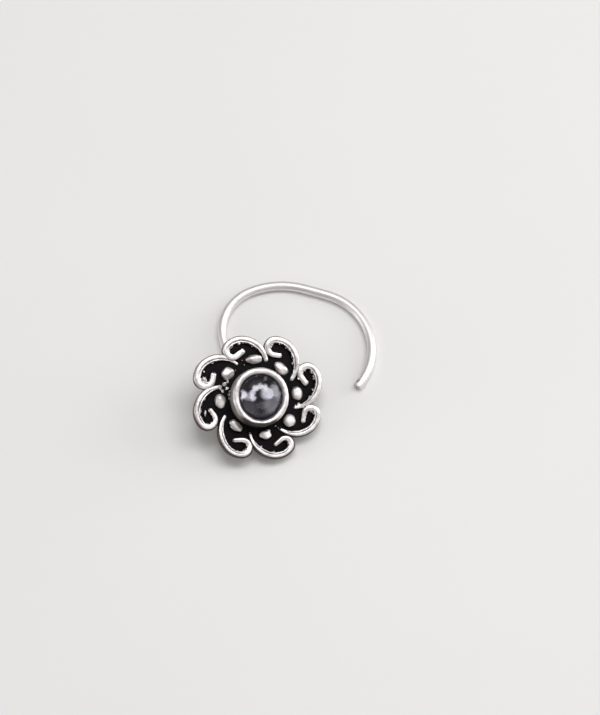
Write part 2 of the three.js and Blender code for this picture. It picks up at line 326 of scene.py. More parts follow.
class Nodes:
    """A node tree that is filled through one method."""

    def __init__(self, tree):
        self.tree = tree

    def add(self, kind, settings=None, inputs=(), output=0):
        """Adds a node: its settings first, then its sockets by place or by name."""
        node = self.tree.nodes.new(kind)
        for name, value in (settings or {}).items():
            setattr(node, name, value)
        pairs = inputs.items() if isinstance(inputs, dict) else enumerate(inputs)
        for key, value in pairs:
            if isinstance(value, Link):
                self.tree.links.new(value.socket, node.inputs[key])
            else:
                node.inputs[key].default_value = value
        return Link(self, node.outputs[output]) if node.outputs else None

    def parts(self, vector):
        whole = self.add("ShaderNodeSeparateXYZ", {}, (vector,))
        return whole, whole.other(1), whole.other(2)

    def vector(self, x, y, z):
        return self.add("ShaderNodeCombineXYZ", {}, (x, y, z))


class Finish(Nodes):
    """A surface finish: a material with one Principled shader, fed by what varies over the surface."""

    def __init__(self, name, **constants):
        self.material = bpy.data.materials.new(name)
        self.material.use_nodes = True
        super().__init__(self.material.node_tree)
        self.shader = self.tree.nodes["Principled BSDF"]
        for socket, value in constants.items():
            self.shader.inputs[socket.replace("_", " ")].default_value = value
        self.place = self.add("ShaderNodeTexCoord", output=3)

    def feed(self, socket, link):
        self.tree.links.new(link.socket, self.shader.inputs[socket])

    def noise(self, grain, detail=3.0, roughness=0.5, stretch=None):
        """Fractal noise from 0 to 1 whose blotches are about `grain` metres across."""
        place = self.place
        if stretch:
            place = self.add("ShaderNodeVectorMath", {"operation": "MULTIPLY"}, (place, stretch))
        return self.add(
            "ShaderNodeTexNoise",
            {},
            {"Vector": place, "Scale": 1 / grain, "Detail": detail, "Roughness": roughness},
        )

    def between(self, value, low, high, to_low=0.0, to_high=1.0):
        """A value's place between two limits, eased, as a number between two others."""
        return self.add(
            "ShaderNodeMapRange", {"interpolation_type": "SMOOTHSTEP"}, (value, low, high, to_low, to_high)
        )

    def blend(self, share, first, second):
        """A colour between two others."""
        inputs = {"Factor": share, 6: first, 7: second}
        return self.add("ShaderNodeMix", {"data_type": "RGBA"}, inputs, output=2)

    def bump(self, height, depth):
        """Relief of the given depth in metres, from a height between 0 and 1."""
        self.feed("Normal", self.add("ShaderNodeBump", {}, {"Height": height, "Distance": depth}))

    def away(self, spot):
        """Distance from a spot, in metres."""
        return self.add("ShaderNodeVectorMath", {"operation": "DISTANCE"}, (self.place, spot), 1)

    def off_axis(self):
        """Distance from the head's axis, in metres."""
        from_back = self.add("ShaderNodeVectorMath", {"operation": "SUBTRACT"}, (self.place, BACK))
        across = self.add("ShaderNodeVectorMath", {"operation": "CROSS_PRODUCT"}, (from_back, HEAD_AXIS))
        return self.add("ShaderNodeVectorMath", {"operation": "LENGTH"}, (across,), 1)

    def height_over_plate(self):
        """Distance above the plate's top face, in metres."""
        along = self.add("ShaderNodeVectorMath", {"operation": "DOT_PRODUCT"}, (self.place, HEAD_AXIS), 1)
        return along - (BACK.dot(HEAD_AXIS) + PLATE_THICKNESS)


def lean_matrix():
    """The turn that leans the head over towards its low petal."""
    level = Vector((-math.sin(LEAN_BEARING), math.cos(LEAN_BEARING), 0))
    return Matrix.Rotation(HEAD_TILT, 4, level)


def head_matrix():
    """The head's place, from the stone in the frame: its axis meets the middle of the plate's back."""
    out = lean_matrix().to_3x3() @ Z
    spots = [v.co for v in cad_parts["cabochon"].data.vertices]
    middle = sum(spots, Vector()) / len(spots)
    base = min(spot.dot(out) for spot in spots)
    back = middle + out * (base - PLATE_THICKNESS - STONE_CLEARANCE - middle.dot(out))
    return Matrix.Translation(back) @ lean_matrix()


HEAD = head_matrix()
HEAD_AXIS = HEAD.to_3x3() @ Z
BACK = HEAD.translation


def basis(x, y, z):
    """A turn whose axes are the three given ones."""
    return Matrix((x, y, z)).transposed().to_4x4()


def bend_step(axis, radius, turn):
    centre = axis.cross(Z) * math.copysign(radius, turn)
    return Matrix.Translation(centre) @ Matrix.Rotation(turn, 4, axis) @ Matrix.Translation(-centre)


def walk(start, legs, facet_angle):
    """Frames and distances along straights and bends. A frame has X to its left, Y up and Z ahead."""
    stations = [(start, 0.0)]
    for leg in legs:
        if "straight" in leg:
            steps = leg["facets"]
            length = leg["straight"] / steps
            step = Matrix.Translation((0, 0, length))
        else:
            turn = math.radians(leg["turn"])
            steps = math.ceil(abs(leg["turn"]) / facet_angle)
            length = leg["radius"] * abs(turn) / steps
            step = bend_step(leg["axis"], leg["radius"], turn / steps)
        for _ in range(steps):
            last, walked = stations[-1]
            stations.append((last @ step, walked + length))
    return stations


def smooth(value, low, high):
    share = min(max((value - low) / (high - low), 0.0), 1.0)
    return share * share * (3 - 2 * share)


def mix(low, high, share):
    return low + (high - low) * share


def mesh_object(name, vertices, faces=(), edges=()):
    mesh = bpy.data.meshes.new(name)
    mesh.from_pydata([tuple(v) for v in vertices], edges, faces)
    mesh.update()
    obj = bpy.data.objects.new(name, mesh)
    bpy.context.scene.collection.objects.link(obj)
    return obj


def path_object(name, paths):
    """Edges along each path of (spot, girth, groove), with girth and groove as attributes."""
    vertices, edges, girths, grooves = [], [], [], []
    for spots in paths:
        first = len(vertices)
        for spot, girth, groove in spots:
            vertices.append(spot)
            girths.append(girth)
            grooves.append(groove)
        edges += [(i, i + 1) for i in range(first, len(vertices) - 1)]
    obj = mesh_object(name, vertices, edges=edges)
    obj.data.attributes.new("girth", "FLOAT", "POINT").data.foreach_set("value", girths)
    obj.data.attributes.new("groove", "FLOAT", "POINT").data.foreach_set("value", grooves)
    return obj


def grow(obj, tree, **values):
    """Runs a Geometry Nodes tree on the object and keeps the result as its plain mesh."""
    modifier = obj.modifiers.new(tree.name, "NODES")
    modifier.node_group = tree
    known = {s.name: s.identifier for s in tree.interface.items_tree if s.in_out == "INPUT"}
    for name, value in values.items():
        modifier[known[name.replace("_", " ")]] = value
    obj.update_tag()
    depsgraph = bpy.context.evaluated_depsgraph_get()
    mesh = bpy.data.meshes.new_from_object(obj.evaluated_get(depsgraph), depsgraph=depsgraph)
    obj.modifiers.clear()
    obj.data = mesh
    return obj


class Growth(Nodes):
    """A Geometry Nodes group with named inputs, which ends in Realize Instances and Set Material."""

    def __init__(self, name, **inputs):
        tree = bpy.data.node_groups.new(name, "GeometryNodeTree")
        super().__init__(tree)
        tree.interface.new_socket("Geometry", in_out="OUTPUT", socket_type="NodeSocketGeometry")
        for label, kind in {"Geometry": "Geometry", **inputs}.items():
            kind = f"NodeSocket{kind}"
            tree.interface.new_socket(label.replace("_", " "), in_out="INPUT", socket_type=kind)
        entry = tree.nodes.new("NodeGroupInput")
        self.given = {s.name.replace(" ", "_"): Link(self, s) for s in entry.outputs if s.name}

    def attribute(self, name):
        return self.add("GeometryNodeInputNamedAttribute", {"data_type": "FLOAT"}, (name,))

    def keep(self, shape, name, value):
        """Stores a value on a shape's points under a name."""
        inputs = {"Geometry": shape, "Name": name, "Value": value}
        return self.add("GeometryNodeStoreNamedAttribute", {"data_type": "FLOAT"}, inputs)

    def uneven(self, shape, depth, grain, seed):
        """Moves a surface in and out a little, as handwork does."""
        inputs = {"W": seed, "Scale": 1 / grain, "Detail": 2.0}
        lumps = self.add("ShaderNodeTexNoise", {"noise_dimensions": "4D"}, inputs)
        normal = self.add("GeometryNodeInputNormal")
        shift = {0: normal, "Scale": (lumps - 0.5) * depth}
        offset = self.add("ShaderNodeVectorMath", {"operation": "SCALE"}, shift)
        return self.add("GeometryNodeSetPosition", {}, {"Geometry": shape, "Offset": offset})

    def end(self, shape, material):
        real = self.add("GeometryNodeRealizeInstances", {}, (shape,))
        soft = self.add("GeometryNodeSetShadeSmooth", {}, {"Geometry": real})
        done = self.add("GeometryNodeSetMaterial", {}, {"Geometry": soft, "Material": material})
        self.add("NodeGroupOutput", {}, (done,))
        return self.tree


def scroll_wire_tree():
    """Half-round wire along each path: a soft crest with a fine groove nearer the inner side of the curl."""
    tree = Growth(
        "Scroll wire", Half_width="Float", Relief="Float", Shoulder="Float", Foot="Float",
        Groove_place="Float", Groove_width="Float", Groove_depth="Float",
        Unevenness="Float", Grain="Float", Seed="Float", Material="Material",
    )
    given = tree.given
    path = tree.add("GeometryNodeMeshToCurve", {}, (given["Geometry"],))
    path = tree.add("GeometryNodeSetCurveNormal", {"mode": "Z_UP"}, (path,))
    ring = tree.add("GeometryNodeCurvePrimitiveCircle", {}, {"Resolution": SCROLL_SIDES, "Radius": 1.0})
    across, upwards, _ = tree.parts(tree.add("GeometryNodeInputPosition"))
    above = upwards.math("MAXIMUM", upwards, 0.0)
    below = upwards.math("MINIMUM", upwards, 0.0)
    crest = (given["Relief"] - given["Shoulder"]) * above ** CREST_FULLNESS
    foot = (given["Foot"] + given["Shoulder"]) * abs(below) ** FOOT_SQUARENESS
    height = given["Shoulder"] + crest - foot
    left = across * given["Half_width"]
    off = (across - given["Groove_place"]) / given["Groove_width"]
    profile = tree.keep(ring, "crest", upwards)
    profile = tree.keep(profile, "side", across)
    profile = tree.keep(profile, "dent", across.math("EXPONENT", off * off * -1) * above)
    inputs = {"Geometry": profile, "Position": tree.vector(left * -1, height * -1, 0.0)}
    profile = tree.add("GeometryNodeSetPosition", {}, inputs)
    inputs = {"Curve": path, "Profile Curve": profile, "Scale": tree.attribute("girth"), "Fill Caps": True}
    wire = tree.add("GeometryNodeCurveToMesh", {}, inputs)
    dent = tree.attribute("dent") * tree.attribute("groove")
    wire = tree.keep(wire, "dent", dent)
    down = tree.vector(0.0, 0.0, dent * given["Groove_depth"] * -1)
    wire = tree.add("GeometryNodeSetPosition", {}, {"Geometry": wire, "Offset": down})
    wire = tree.uneven(wire, given["Unevenness"], given["Grain"], given["Seed"])
    return tree.end(wire, given["Material"])


def round_wire_tree():
    """Round wire along a path, slightly uneven from bending with pliers."""
    tree = Growth(
        "Round wire", Radius="Float", Unevenness="Float", Grain="Float", Seed="Float", Material="Material"
    )
    given = tree.given
    path = tree.add("GeometryNodeMeshToCurve", {}, (given["Geometry"],))
    inputs = {"Resolution": WIRE_SIDES, "Radius": given["Radius"]}
    ring = tree.add("GeometryNodeCurvePrimitiveCircle", {}, inputs)
    inputs = {"Curve": path, "Profile Curve": ring, "Scale": tree.attribute("girth"), "Fill Caps": True}
    wire = tree.add("GeometryNodeCurveToMesh", {}, inputs)
    wire = tree.uneven(wire, given["Unevenness"], given["Grain"], given["Seed"])
    return tree.end(wire, given["Material"])


def scroll_path(petal):
    """A scroll's middle line, from its tail by the bezel out, round the lobe and back into the curl."""
    reach = PETAL_REACH * petal["size"]
    start = (
        Matrix.Rotation(math.radians(petal["bearing"]), 4, Z)
        @ Matrix.Translation((SCROLL_START * reach, 0, PLATE_THICKNESS))
        @ Matrix.Rotation(math.radians(petal["lean"]), 4, Z)
        @ basis(Y, Z, X)
    )
    legs = [{"axis": Y, "radius": s["radius"] * reach, "turn": s["turn"]} for s in SCROLL_SWING]
    legs.append({"axis": Y, "radius": petal["hook"] * PETAL_REACH, "turn": petal["curl"]})
    legs.append({"straight": petal["tip"] * PETAL_REACH, "facets": TIP_FACETS})
    return walk(start, legs, SCROLL_FACET_ANGLE)


def scroll_girth(petal, walked, whole):
    """The wire's girth as a share of the full one: thin at the tail, rounded off at both ends."""
    share = walked / whole
    tail = mix(petal["tail_girth"], 1, smooth(share, 0, TAIL_RUN))
    tip = mix(1, petal["tip_girth"], smooth(share, 1 - TIP_RUN, 1))
    into_tip = max(0.0, 1 - (whole - walked) / (petal["tip_girth"] * SCROLL_WIDTH / 2))
    into_tail = max(0.0, 1 - walked / (petal["tail_girth"] * SCROLL_WIDTH / 2))
    return tail * tip * math.sqrt(1 - END_ROUNDING * max(into_tip, into_tail) ** 2)


def groove_strength(share):
    """The groove starts past the tail and fades where the wire curls back."""
    return smooth(share, *GROOVE_SETS_IN) * mix(1, GROOVE_IN_HOOK, smooth(share, *GROOVE_FADES))


def scrolls(silver):
    paths = []
    for petal in SCROLLS:
        stations = scroll_path(petal)
        whole = stations[-1][1]
        paths.append([
            (place.translation, scroll_girth(petal, walked, whole), groove_strength(walked / whole))
            for place, walked in stations
        ])
    obj = grow(
        path_object("scrolls", paths), scroll_wire_tree(),
        Half_width=SCROLL_WIDTH / 2, Relief=SCROLL_RELIEF, Shoulder=SCROLL_SHOULDER, Foot=SOLDER_DEPTH,
        Groove_place=GROOVE_PLACE, Groove_width=GROOVE_WIDTH, Groove_depth=GROOVE_DEPTH,
        Unevenness=SCROLL_UNEVENNESS, Grain=SCROLL_DENTS, Seed=3.0, Material=silver,
    )
    obj.data.transform(HEAD)
    return obj


def plate_reach(bearing):
    """How far the plate reaches at a bearing: under the outer half of the scroll that is widest there."""
    best = CORE_REACH * PETAL_REACH
    for path_bearings, path_reaches in PETAL_EDGES:
        past = (bearing - path_bearings[0]) % (2 * math.pi) + path_bearings[0]
        if past <= path_bearings[-1]:
            best = max(best, float(np.interp(past, path_bearings, path_reaches)))
    return best


def petal_edges():
    """For each scroll the bearings and distances of the plate's edge under it, up to its widest bearing."""
    edges = []
    for petal in SCROLLS:
        stations = scroll_path(petal)
        whole = stations[-1][1]
        bearings, reaches = [], []
        for place, walked in stations:
            trim = PLATE_UNDER_SCROLL * scroll_girth(petal, walked, whole) * SCROLL_WIDTH / 2
            spot = place @ Vector((-trim, 0, 0))
            bearing = math.atan2(spot.y, spot.x)
            if bearings:
                bearing = bearings[-1] + math.remainder(bearing - bearings[-1], 2 * math.pi)
            if not bearings or bearing > bearings[-1]:
                bearings.append(bearing)
                reaches.append(spot.xy.length)
        edges.append((bearings, reaches))
    return edges


def ring_faces(rings, sides):
    """Quads between closed rings of `sides` vertices that follow each other."""
    faces = []
    for ring in range(rings - 1):
        for side in range(sides):
            after = (side + 1) % sides
            low, high = ring * sides, (ring + 1) * sides
            faces.append((low + side, low + after, high + after, high + side))
    return faces


def back_plate(material):
    """The scalloped plate: flat back and front, with a worn, rounded edge."""
    bearings = [2 * math.pi * i / PLATE_SIDES for i in range(PLATE_SIDES)]
    outline = np.array([plate_reach(bearing) for bearing in bearings])
    around = np.array([(math.cos(b), math.sin(b)) for b in bearings])
    rings = [outline * share for share in PLATE_RINGS]
    heights = [0.0] * len(rings)
    for i in range(EDGE_STEPS + 1):
        angle = math.pi * i / EDGE_STEPS
        rings.append(outline - EDGE_ROUND * (1 - math.sin(angle)))
        if angle < math.pi / 2:
            heights.append(EDGE_ROUND * (1 - math.cos(angle)))
        else:
            heights.append(PLATE_THICKNESS - EDGE_ROUND * (1 + math.cos(angle)))
    for share in reversed(PLATE_RINGS):
        rings.append(outline * share)
        heights.append(PLATE_THICKNESS)
    vertices = [(x * r, y * r, h) for ring, h in zip(rings, heights) for (x, y), r in zip(around, ring)]
    faces = ring_faces(len(rings), PLATE_SIDES)
    bottom, top = len(vertices), len(vertices) + 1
    vertices += [(0, 0, 0), (0, 0, PLATE_THICKNESS)]
    last = (len(rings) - 1) * PLATE_SIDES
    for side in range(PLATE_SIDES):
        after = (side + 1) % PLATE_SIDES
        faces.append((bottom, after, side))
        faces.append((top, last + side, last + after))
    obj = mesh_object("back_plate", vertices, faces)
    obj.data.materials.append(material)
    shade_by_angle(obj)
    obj.data.transform(HEAD)
    return obj


def shade_by_angle(obj, angle=40):
    obj.data.shade_smooth()
    obj.data.set_sharp_from_angle(angle=math.radians(angle))


def lathe(name, profile, material, wave=None):
    """Turns a profile of (radius, height) about the head's axis. `wave` moves a point at a bearing."""
    vertices = []
    for radius, height in profile:
        for side in range(LATHE_SIDES):
            bearing = 2 * math.pi * side / LATHE_SIDES
            r, h = wave(bearing, radius, height) if wave else (radius, height)
            vertices.append((r * math.cos(bearing), r * math.sin(bearing), h))
    faces = ring_faces(len(profile), LATHE_SIDES)
    closed = profile[0][0] > 0
    if closed:
        last = (len(profile) - 1) * LATHE_SIDES
        for side in range(LATHE_SIDES):
            after = (side + 1) % LATHE_SIDES
            faces.append((last + side, last + after, after, side))
    obj = mesh_object(name, vertices, faces)
    clean(obj)
    obj.data.materials.append(material)
    shade_by_angle(obj, 60)
    obj.data.transform(HEAD)
    return obj


def clean(obj):
    """Merges doubles and turns the faces outwards."""
    mesh = bmesh.new()
    mesh.from_mesh(obj.data)
    bmesh.ops.remove_doubles(mesh, verts=mesh.verts, dist=MERGE_DISTANCE)
    bmesh.ops.recalc_face_normals(mesh, faces=mesh.faces)
    mesh.to_mesh(obj.data)
    mesh.free()


def dome_radius(height):
    return STONE_RADIUS * math.sqrt(1 - ((height - GIRDLE) / DOME_HEIGHT) ** 2)


def burnished(bearing, radius, height):
    """The rim is pushed over the stone by hand, so it wanders a little round the stone."""
    share = smooth(height, PLATE_THICKNESS + GIRDLE, PLATE_THICKNESS + BEZEL_HEIGHT)
    sway = sum(size * math.sin(count * bearing + phase) for count, phase, size in SWAY_WAVES)
    inner = smooth(radius, BEZEL_RADIUS, BEZEL_RADIUS - 2 * BEZEL_WALL)
    sag = max(0.0, math.cos(bearing - SAG_BEARING)) ** 1.5 * mix(CUP_SAG, MOUTH_SAG * share, inner)
    inward = radius + RIM_SWAY * share * sway * (0.35 + 0.65 * inner)
    return inward + sag, height - RIM_SWAY * share * abs(sway) * 0.5


def bezel(material):
    mouth = dome_radius(LIP_EDGE) + STONE_CLEARANCE
    wall = (BEZEL_RADIUS - mouth) / 2
    profile = [(BEZEL_RADIUS, -SOLDER_DEPTH)]
    profile += [(BEZEL_RADIUS, mix(0, LIP_EDGE, i / WALL_STEPS)) for i in range(WALL_STEPS)]
    for i in range(RIM_STEPS + 1):
        angle = math.pi * i / RIM_STEPS
        profile.append((mouth + wall + wall * math.cos(angle), LIP_EDGE + RIM_ROUND * math.sin(angle)))
    for i in range(1, SEAT_STEPS + 1):
        share = i / SEAT_STEPS
        profile.append((mix(mouth, BORE_RADIUS, share), mix(LIP_EDGE, GIRDLE, share)))
    profile.append((BORE_RADIUS, -SOLDER_DEPTH))
    raised = [(radius, PLATE_THICKNESS + height) for radius, height in profile]
    return lathe("bezel", raised, material, burnished)


def cabochon(material, cup_and_painted_reflection):
    profile = [(0, STONE_CLEARANCE)]
    profile += [(STONE_RADIUS * share, STONE_CLEARANCE) for share in (0.5, 1 - STONE_BEVEL)]
    profile.append((STONE_RADIUS, STONE_CLEARANCE + STONE_BEVEL * STONE_RADIUS))
    for i in range(DOME_STEPS + 1):
        angle = math.pi / 2 * i / DOME_STEPS
        profile.append((STONE_RADIUS * math.cos(angle), GIRDLE + DOME_HEIGHT * math.sin(angle)))
    raised = [(radius, PLATE_THICKNESS + height) for radius, height in profile]
    obj = lathe("cabochon_stone", raised, material)
    # Second material, on the stone's flat base: the dark cup with the painted reflection
    obj.data.materials.append(cup_and_painted_reflection)
    for face in obj.data.polygons:
        if face.normal.dot(HEAD_AXIS) < -0.9:
            face.material_index = 1
    return obj


def lump(spot, size, turn, bend=0.0, roughness=0.1, seed=0.0, detail=LUMP_DETAIL):
    """A rounded lump of metal: half-axes `size`, turned about the head's axis and bent like a bean."""
    mesh = bmesh.new()
    bmesh.ops.create_icosphere(mesh, subdivisions=detail, radius=1)
    for vertex in mesh.verts:
        unit = vertex.co.copy()
        swell = 1 + roughness * noise.noise(unit * 1.3 + Vector((seed, 7.3 * seed, 2.1)))
        swell += roughness * 0.2 * noise.noise(unit * 4 + Vector((seed, 3.1, seed)))
        across = max(math.hypot(unit.x, unit.y), 1e-9)
        spread = across ** LUMP_FULLNESS
        full = [math.copysign(abs(part / across) ** LUMP_PLAN * spread, part) for part in unit.xy]
        full.append(math.copysign(abs(unit.z) ** LUMP_FULLNESS, unit.z))
        x, y, z = (part * half * swell for part, half in zip(full, size))
        z = max(z, -LUMP_SINK)
        x += bend * y * y / max(size[1], 1e-9)
        vertex.co = Matrix.Translation(spot) @ Matrix.Rotation(turn, 4, Z) @ Vector((x, y, z))
    return mesh


def gather(name, lumps, material):
    """Joins lumps into one piece."""
    whole = bpy.data.meshes.new(name)
    together = bmesh.new()
    for mesh in lumps:
        part = bpy.data.meshes.new("part")
        mesh.to_mesh(part)
        mesh.free()
        together.from_mesh(part)
        bpy.data.meshes.remove(part)
    together.to_mesh(whole)
    together.free()
    whole.materials.append(material)
    whole.shade_smooth()
    whole.transform(HEAD)
    obj = bpy.data.objects.new(name, whole)
    bpy.context.scene.collection.objects.link(obj)
    return obj


def on_plate(bearing, distance, height=0.0):
    """A spot on the plate's face, from a bearing in degrees and a distance as a share of the reach."""
    angle = math.radians(bearing)
    reach = distance * PETAL_REACH
    return Vector((reach * math.cos(angle), reach * math.sin(angle), PLATE_THICKNESS + height))


def granules(material):
    lumps = []
    for number, (grain, petal) in enumerate(zip(GRANULES, SCROLLS)):
        bearing = petal["bearing"] + grain["past"]
        half = GRANULE_DIAMETER / 2
        size = (half * grain["wide"], half * grain["long"], GRANULE_RELIEF)
        spot = on_plate(bearing, grain["distance"])
        turn = math.radians(bearing)
        lumps.append(lump(spot, size, turn, grain["bend"] * half, grain["rough"], seed=number * 1.7))
    return gather("granules", lumps, material)


def solder_teeth():
    """Small rough spots where solder ran up the inner side of a scroll."""
    chance = random.Random(TEETH_SEED)
    lumps = []
    for petal in SCROLLS:
        stations = scroll_path(petal)
        whole = stations[-1][1]
        for _ in range(TEETH_PER_SCROLL):
            place, walked = stations[int(len(stations) * chance.uniform(*TEETH_RUN))]
            side = scroll_girth(petal, walked, whole) * SCROLL_WIDTH / 2
            spot = place @ Vector((side * chance.uniform(*TEETH_OFFSET), 0, 0))
            size = [TOOTH_SIZE * chance.uniform(*TOOTH_SPREAD) for _ in range(2)]
            size.append(SCROLL_RELIEF * chance.uniform(*TEETH_HEIGHT))
            turn = chance.uniform(0, math.pi)
            seed = chance.uniform(0, 9)
            lumps.append(lump(spot, size, turn, 0, LUMP_ROUGHNESS, seed, TOOTH_DETAIL))
    return lumps


def solder(material):
    lumps = solder_teeth()
    for number, drop in enumerate(SOLDER_LUMPS):
        size = (drop["long"] * MM / 2, drop["wide"] * MM / 2, drop["high"] * MM)
        spot = on_plate(drop["bearing"], drop["distance"])
        turn = math.radians(drop["turn"])
        lumps.append(lump(spot, size, turn, 0, LUMP_ROUGHNESS, 20 + number, DROP_DETAIL))
    return gather("solder", lumps, material)


def wire_path():
    """Down square from the plate's back, round to lie level, and out in the hook."""
    post_bend = math.pi / 2 - HEAD_TILT
    drop = (BACK.z - WIRE_DIAMETER / 2) / math.cos(HEAD_TILT)
    post = drop - POST_BEND_RADIUS * math.tan(post_bend / 2)
    start = (
        HEAD
        @ Matrix.Rotation(LEAN_BEARING, 4, Z)
        @ Matrix.Translation((0, 0, SOLDER_DEPTH))
        @ basis(-Y, -X, -Z)
    )
    legs = [
        {"straight": SOLDER_DEPTH + post, "facets": POST_FACETS},
        {"axis": X, "radius": POST_BEND_RADIUS, "turn": -math.degrees(post_bend)},
    ]
    legs += [{"axis": Y, "radius": b["radius"] * HOOK_RADIUS, "turn": -b["turn"]} for b in HOOK_BENDS]
    return walk(start, legs, WIRE_FACET_ANGLE)


def nose_wire(material):
    stations = wire_path()
    spots = [(place.translation - Z * WIRE_TRIM / 2, 1.0, 0.0) for place, _ in stations]
    return grow(
        path_object("nose_wire", [spots]), round_wire_tree(),
        Radius=WIRE_DIAMETER / 2 - WIRE_TRIM, Unevenness=WIRE_UNEVENNESS, Grain=WIRE_DENTS, Seed=5.0,
        Material=material,
    )


def satin(finish, bright, oxide_and_painted_shade, tones, roughness):
    """Satin silver where `bright` is 1 and a dark finish where it is 0: oxide, and in places painted shade.
    """
    patches = finish.noise(0.5 * MM, detail=5)
    specks = finish.noise(0.10 * MM, detail=3, roughness=0.6)
    silver = finish.blend(finish.between(patches, 0.35, 0.65), *tones)
    finish.feed("Base Color", finish.blend(bright, oxide_and_painted_shade, silver))
    finish.feed("Roughness", finish.between(bright, 0, 1, 0.5, roughness) + (specks - 0.5) * 0.1)
    finish.bump(specks * 0.4 + patches * 0.6, 0.035 * MM)
    return finish.material


def wander(finish):
    """Uneven edge between bright and blackened silver: coarse and fine noise round 0."""
    coarse = finish.noise(0.5 * MM, detail=5) - 0.5
    return coarse + (finish.noise(0.09 * MM, detail=4, roughness=0.7) - 0.5)


def granule_silver():
    """Bright above a height over the plate, blackened round the foot. On the low side the dark reaches
    higher, with a more ragged edge, as painted shade.
    """
    finish = Finish("granule_silver", Metallic=1.0)
    # Painted shade: on the low side the dark round the foot reaches higher
    low = finish.between(finish.parts(finish.place)[1], -5.4 * MM, -4.6 * MM, 1, 0)
    edge = finish.height_over_plate() + wander(finish) * (low * 0.30 + 0.10) * MM - low * (0.14 * MM)
    return satin(finish, finish.between(edge, 0.10 * MM, 0.20 * MM), BROWN_BLACK, WHITE_TONES, 0.50)


def bezel_silver():
    """Bright on the rim and grey down the wall. On the low side the rim's outer half and the wall are dark,
    as painted shade.
    """
    finish = Finish("bezel_silver")
    # Painted shade on the low side of the bezel
    painted_shade_side = finish.between(finish.parts(finish.place)[1], -5.5 * MM, -4.9 * MM, 1, 0)
    stray = wander(finish) * (0.10 * MM)
    rim = finish.between(finish.height_over_plate() + stray, 1.15 * MM, 1.42 * MM)
    outer = finish.between(finish.off_axis() + stray, 2.08 * MM, 2.20 * MM)
    lip = finish.between(finish.off_axis() + stray, 1.73 * MM, 1.80 * MM)
    bright = rim * (1 - outer * painted_shade_side) * lip
    finish.feed("Metallic", finish.between(bright, 0, 1, 0.15, 1))
    return satin(finish, bright, finish.blend(painted_shade_side, *WALL_AND_PAINTED_SHADE_TONES), WHITE_TONES, 0.38)


def scroll_silver():
    """Bright on the crest, blackened down the sides and in the groove; the outer flank's dim brownish grey
    is painted shade.
    The blackening has a ragged edge on the inner side and reaches higher on the outer side of the lowest
    scrolls, as painted shade."""
    finish = Finish("scroll_silver", Metallic=1.0)
    crest, dent, side = (
        finish.add("ShaderNodeAttribute", {"attribute_name": name}, output=2)
        for name in ("crest", "dent", "side")
    )
    stray = wander(finish)
    ragged = finish.noise(0.17 * MM, detail=3) - 0.5
    # Painted shade: on the lowest scrolls the dark reaches higher up the outer side
    low = finish.between(finish.parts(finish.place)[1], -6.8 * MM, -4.0 * MM, 1, 0)
    inner, outer = side.math("MAXIMUM", side, 0.0), side.math("MINIMUM", side, 0.0)
    edge = crest + stray * 0.3 + inner * ragged * 2.4 + outer * low * 0.9
    top = finish.between(edge, 0.34, 0.56)
    grooved = finish.between(dent + stray * 0.5, 0.30, 0.85, 0, 0.88)
    # Painted shade on the outer flank, brown-black oxide on the inner side
    flank_oxide_and_painted_shade = finish.blend(outer * -1, BROWN_BLACK, FLANK_PAINTED_SHADE_TONE)
    return satin(finish, top * (1 - grooved), flank_oxide_and_painted_shade, WHITE_TONES, 0.38)


def blackened_plate():
    finish = Finish("blackened_plate", Metallic=1.0)
    specks = finish.noise(0.07 * MM, detail=5, roughness=0.75)
    patches = finish.noise(0.7 * MM, detail=4)
    height = finish.height_over_plate()
    worn = finish.between(height * -1 + (patches - 0.5) * (0.1 * MM), 0.04 * MM, 0.2 * MM, 0, 0.22)
    back = finish.between(height * -1, PLATE_THICKNESS - 0.06 * MM, PLATE_THICKNESS, 0, 0.6)
    spark = finish.between(specks, 0.70, 0.8, 0, 0.3)
    bright = worn.math("MAXIMUM", worn.math("MAXIMUM", worn, spark), back)
    finish.feed("Base Color", finish.blend(bright, *PLATE_TONES))
    finish.feed("Roughness", finish.between(patches, 0.3, 0.7, 0.34, 0.55))
    finish.bump(specks, 0.02 * MM)
    return finish.material


def drawn_silver():
    """Drawn wire: satin, with fine scratches and one small nick."""
    finish = Finish("drawn_silver", Metallic=1.0)
    patches = finish.noise(1.1 * MM, detail=5)
    scratches = finish.noise(0.12 * MM, detail=5, roughness=0.7, stretch=(1, 1, 3))
    tone = finish.blend(patches, *WIRE_TONES)
    ragged = (scratches - 0.5) * (0.12 * MM)
    nick = finish.between(finish.away(WIRE_NICK) + ragged, 0.08 * MM, 0.20 * MM, 1, 0)
    cut = finish.between(finish.away(wire_path()[-1][0].translation), 0.45 * MM, 0.65 * MM, 1, 0)
    cracks = finish.between(abs(finish.noise(0.55 * MM, detail=2) - 0.5), 0.015, 0.04, 0.8, 0)
    dark = nick.math("MAXIMUM", nick, cut * cracks)
    finish.feed("Base Color", finish.blend(dark, tone, CRACK_TONE))
    finish.feed("Roughness", finish.between(patches, 0.3, 0.7, 0.44, 0.52) + (scratches - 0.5) * 0.12)
    finish.bump(scratches - dark * 2, 0.012 * MM)
    return finish.material


def clear_stone():
    """Clear stone with a dome that isn't quite even."""
    finish = Finish(
        "clear_stone", Base_Color=STONE_TONE, Metallic=0.0, IOR=STONE_BENDING, Transmission_Weight=1.0
    )
    waves = finish.noise(1.1 * MM, detail=4)
    finish.feed("Roughness", finish.between(waves, 0.3, 0.7, 0.0, 0.04))
    finish.bump(waves, 0.05 * MM)
    return finish.material


def on_cup(across, along):
    """A spot on the cup under the stone, from millimetres across and along from its middle."""
    return HEAD @ Vector((across * MM, along * MM, PLATE_THICKNESS + STONE_CLEARANCE))


